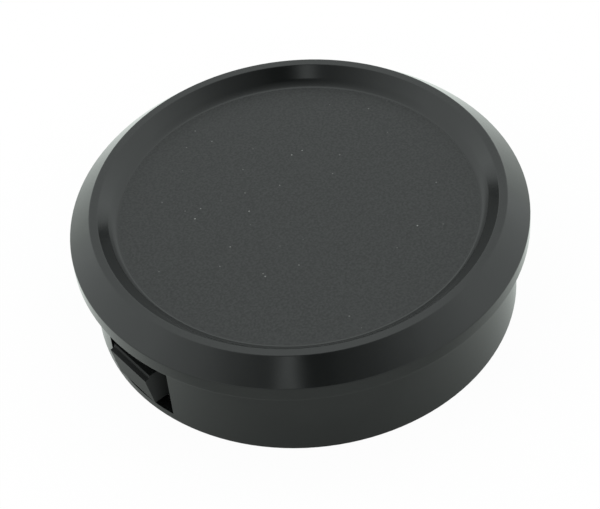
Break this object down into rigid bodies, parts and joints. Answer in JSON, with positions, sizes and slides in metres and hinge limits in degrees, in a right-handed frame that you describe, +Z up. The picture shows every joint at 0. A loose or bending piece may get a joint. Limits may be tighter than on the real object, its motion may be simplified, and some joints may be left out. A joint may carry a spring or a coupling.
{
  "type": "watch case press head",
  "caption": "Round black palm press head for watch cases: dished top plate, bevelled flange, straight skirt with sprung side latches and a push-on die inside.",
  "frame": {"origin": "middle of the skirt's rim, on the surface that the head stands on", "axes": "+Z up along the head's axis, out of the dish; X through the two latches, with the latch named left on -X"},
  "size_m": [0.08, 0.08, 0.0223],
  "materials": {
    "shell_plastic": "black moulded plastic, satin",
    "plate_plastic": "black plastic with a fine spark-eroded grain",
    "adhesive_film": "pale double-sided film",
    "steel": "plain turned and stamped steel",
    "brass": "turned brass",
    "nylon": "natural nylon, turned",
    "rubber": "black rubber"
  },
  "bodies": {
    "head": {"head_shell": "shell_plastic", "palm_plate": "plate_plastic", "plate_adhesive": "adhesive_film", "thrust_plate": "steel", "thrust_screws": "steel", "die_spindle": "steel", "latch_pin_left": "steel", "latch_pin_right": "steel", "latch_spring_left": "steel", "latch_spring_right": "steel", "latch_keeper_left": "steel", "latch_keeper_right": "steel", "keeper_screws": "steel", "thrust_inserts": "brass", "spindle_insert": "brass", "keeper_inserts": "brass", "spindle_ring": "rubber"},
    "left_latch": {"latch_left": "shell_plastic"},
    "right_latch": {"latch_right": "shell_plastic"},
    "die": {"press_die": "nylon", "die_facing": "rubber"}
  },
  "joints": [
    {"name": "left_latch_pivot", "type": "hinge", "parent": "head", "child": "left_latch", "pos_m": [-0.0328, 0, 0.0136], "axis": [0, -1, 0], "range_deg": [0, 15], "stiffness_Nm_per_rad": 0.04, "springref_deg": -6.88, "deforming": ["latch_spring_left"]},
    {"name": "right_latch_pivot", "type": "hinge", "parent": "head", "child": "right_latch", "pos_m": [0.0328, 0, 0.0136], "axis": [0, 1, 0], "range_deg": [0, 15], "stiffness_Nm_per_rad": 0.04, "springref_deg": -6.88, "deforming": ["latch_spring_right"]},
    {"name": "die_release", "type": "slide", "parent": "head", "child": "die", "axis": [0, 0, -1], "range_m": [0, 0.006]}
  ]
}
